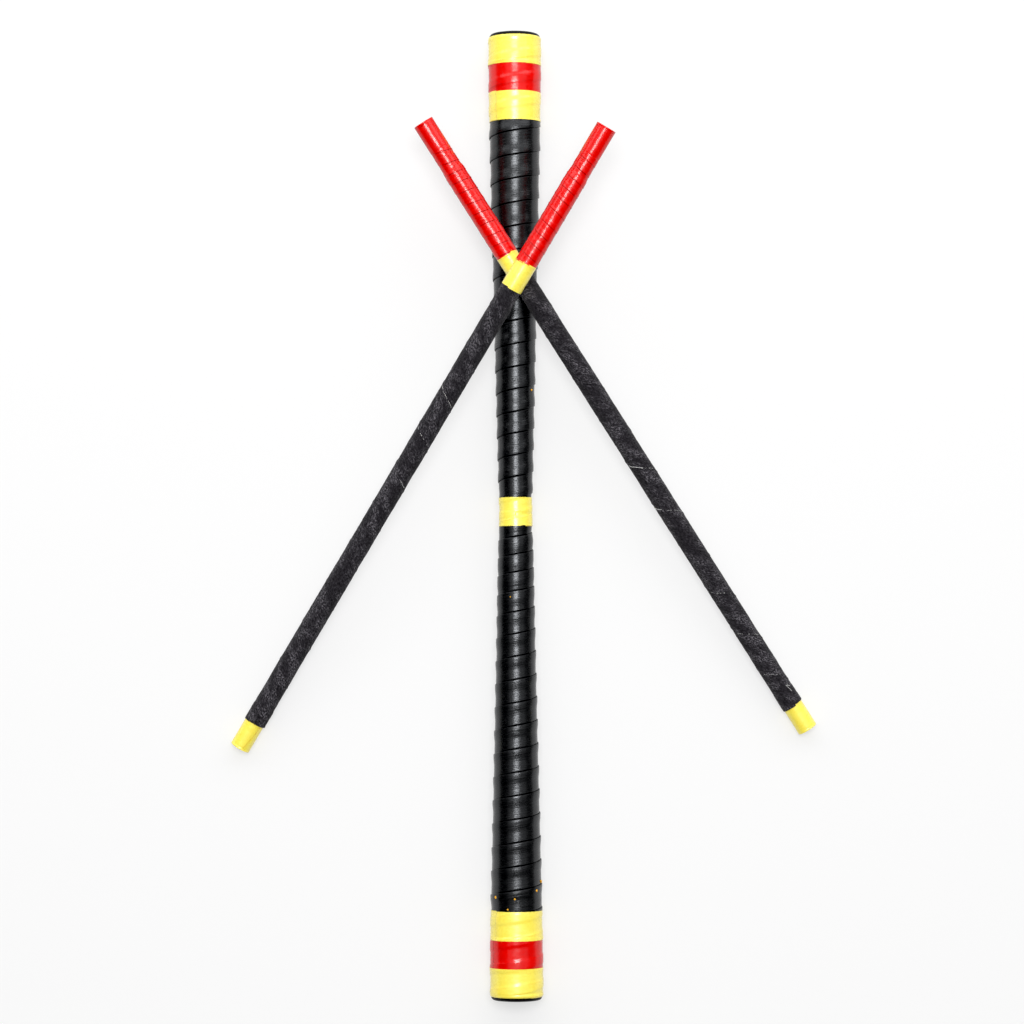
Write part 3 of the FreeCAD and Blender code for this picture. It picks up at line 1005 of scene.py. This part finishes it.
def hand_sticks():
    torn_band = {"lower": step(-22, 1.25), "upper": step(12, 0.6)}
    torn_grip = {"lower": step(-12, -0.9), "upper": step(25, -0.35)}
    band_lay = {"lower": (-28, -1), "upper": (12, 1)}           # angle of the cut end, spin
    crease = {"lower": None, "upper": tip_crease}
    for number, which in enumerate(("lower", "upper"), 1):
        stick = STICKS[which]
        end_angle, spin = band_lay[which]
        straight_band(f"{which}_handle_end_tape", stick, -0.2, TAPE_WIDTH,
                      constant_floor(DOWEL_RADIUS + 0.2), VINYL, turns=1.55, end_angle=115,
                      drift=0.25, material=RED,
                      relief=vinyl_relief(50 + number, 0.02))
        straight_band(f"{which}_transition_band", stick, HANDLE_TAPE_END, TRANSITION_END,
                      over_spiral(which), thickness=0.13, turns=1.45, end_angle=end_angle,
                      drift=0.7, material=YELLOW,
                      relief=vinyl_relief(60 + number, 0.03), spin=spin,
                      near_shape=lambda angle: torn_band[which](angle) - torn_band[which](math.pi))
        straight_band(f"{which}_tip_tape", stick, STICK_LENGTH - TIP_TAPE_LENGTH,
                      STICK_LENGTH + 0.05, constant_floor(DOWEL_RADIUS + 0.01), thickness=0.12,
                      turns=1.4, end_angle=60, drift=0.4, material=YELLOW,
                      relief=vinyl_relief(70 + number, 0.03), marks=crease[which])
        fold_cap(which, 0.0, END_TAPE_RADIUS, RED, "red_tape", 7, number)
        fold_cap(which, STICK_LENGTH, TIP_RADIUS, YELLOW, "yellow_tape", 6, number + 3)
        handle_spiral(which, number)
        grip(which, torn_grip[which])
    loose_threads()


# ---- hidden cores -----------------------------------------------------------------------------

def cores():
    for name in ("centre_core", "lower_dowel", "upper_dowel"):
        node = frame["nodes"][name]
        node.data.materials.clear()
        node.data.materials.append(WOOD)


# ---- floor, light, camera ---------------------------------------------------------------------

def floor():
    """A pale floor under the sticks, carried on to the horizon for the low views."""
    near, far = 4.0, 40.0
    corners = ((-1, -1), (1, -1), (1, 1), (-1, 1))
    verts = [(x * size, y * size, 0) for size in (near, far) for x, y in corners]
    border = [(k, 4 + k, 4 + (k + 1) % 4, (k + 1) % 4) for k in range(4)]
    mesh = bpy.data.meshes.new("floor")
    mesh.from_pydata(verts, [], [(0, 1, 2, 3)] + border)
    paint = Paint("pale_floor", (0.29, 0.29, 0.29), 0.9, Specular_IOR_Level=0.1,
                  Emission_Color=(1, 1, 1, 1), Emission_Strength=0.61)
    mesh.materials.append(paint.material)
    plane = bpy.data.objects.new("floor", mesh)
    bpy.context.scene.collection.objects.link(plane)


def softbox(name, place, target, size, radiance):
    """A rectangular area light of a given brightness that faces a target."""
    light = bpy.data.lights.new(name, "AREA")
    light.shape = "RECTANGLE"
    light.size, light.size_y = size
    light.energy = radiance * math.pi * size[0] * size[1]
    lamp = bpy.data.objects.new(name, light)
    lamp.location = place
    lamp.rotation_euler = (Vector(target) - Vector(place)).to_track_quat("-Z", "Y").to_euler()
    bpy.context.scene.collection.objects.link(lamp)


def lights():
    """A key and a wide diffuser overhead, and panels behind and beside for the gloss to pick up."""
    softbox("key", (0, 0.26, 2.6), (0, 0.26, 0), (0.95, 0.74), 20.5)
    softbox("diffuser", (0.5, 0.8, 2.62), (0.5, 0.8, 0), (5.2, 3.0), 0.66)
    softbox("back_panel", (0, 1.8, 1.5), (0, 0, 0.3), (7.0, 1.6), 2.2)
    softbox("side_panel", (2.6, 0.3, 1.2), (0, 0.3, 0), (3.0, 2.0), 0.055)
    world = bpy.data.worlds.new("studio")
    world.use_nodes = True
    background = world.node_tree.nodes["Background"]
    background.inputs["Color"].default_value = (1, 1, 1, 1)
    background.inputs["Strength"].default_value = 0.03
    bpy.context.scene.world = world


def camera():
    data = bpy.data.cameras.new("camera")
    data.lens = CAMERA_LENS
    data.sensor_width = SENSOR_WIDTH
    data.clip_start, data.clip_end = 0.05, 200
    eye = bpy.data.objects.new("camera", data)
    turn = (Matrix.Rotation(math.radians(CAMERA_ROLL), 4, "Z")
            @ Matrix.Rotation(math.radians(CAMERA_PITCH), 4, "X")
            @ Matrix.Rotation(math.radians(CAMERA_YAW), 4, "Y"))
    eye.matrix_world = Matrix.Translation(CAMERA_PLACE) @ turn
    bpy.context.scene.collection.objects.link(eye)
    bpy.context.scene.camera = eye
    look = bpy.context.scene.view_settings
    look.view_transform = "Standard"
    look.use_curve_mapping = True
    look.curve_mapping.black_level = (BLACK_POINT,) * 3
    look.curve_mapping.update()


rubber_wraps()
end_bands()
waist()
end_caps()
flecks()
hand_sticks()
cores()
floor()
lights()
camera()
